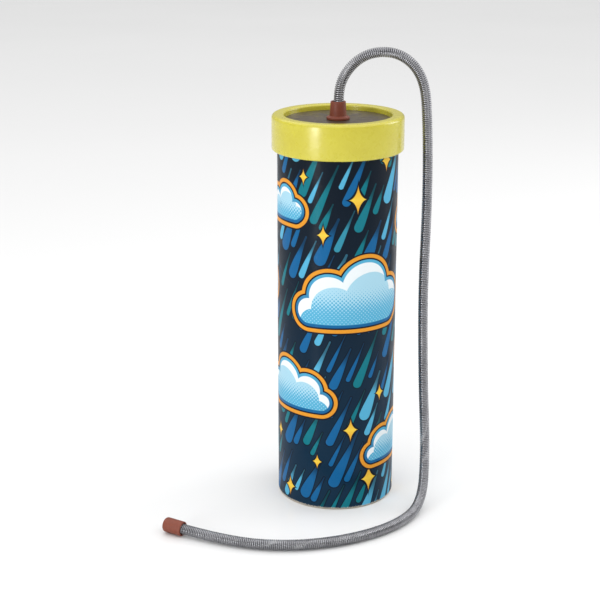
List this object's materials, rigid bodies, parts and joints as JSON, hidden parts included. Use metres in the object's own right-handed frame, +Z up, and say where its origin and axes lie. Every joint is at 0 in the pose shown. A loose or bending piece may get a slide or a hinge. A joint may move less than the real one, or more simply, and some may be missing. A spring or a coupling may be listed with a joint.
{
  "type": "thunder tube",
  "caption": "Slim paper tube, open at one end, whose collared film drumhead carries a long limp coil spring that rumbles when the tube is shaken.",
  "frame": {"origin": "middle of the tube's open end, on the plane that it stands on", "axes": "+Z up the tube's axis to the drumhead, +X to the side over which the spring hangs, -Y to the viewer"},
  "size_m": [0.1162, 0.094, 0.1985],
  "materials": {
    "kraft_ply": "matt brown kraft paper",
    "greyboard": "matt grey board",
    "printed_paper": "satin varnished print on a dark blue ground",
    "film": "satin grey-brown film",
    "collar_plastic": "semi-gloss lemon yellow",
    "bush_rubber": "matt red-brown rubber",
    "washer_fibre": "matt off-white",
    "pin_steel": "drawn wire",
    "spring_steel": "bright drawn wire"
  },
  "bodies": {
    "tube": {"inner_liner": "kraft_ply", "tube_core": "greyboard", "printed_wrap": "printed_paper", "drumhead": "film", "collar": "collar_plastic"},
    "head_centre": {"grommet": "bush_rubber", "inner_washer": "washer_fibre"},
    "spring_root": {"cross_pin": "pin_steel"},
    "spring_run": {"spring": "spring_steel", "tip_cap": "bush_rubber"}
  },
  "joints": [
    {"name": "head_flex", "type": "slide", "parent": "tube", "child": "head_centre", "axis": [0, 0, 1], "range_m": [-0.0015, 0.0015], "stiffness_N_per_m": 200, "deforming": ["drumhead"]},
    {"name": "spring_swivel", "type": "hinge", "parent": "head_centre", "child": "spring_root", "pos_m": [0, 0, 0.1653], "axis": [0, 0, 1], "continuous": true},
    {"name": "spring_swing", "type": "hinge", "parent": "spring_root", "child": "spring_run", "pos_m": [0, 0, 0.1653], "axis": [0, -1, 0], "range_deg": [0, 50], "deforming": ["spring"]}
  ]
}
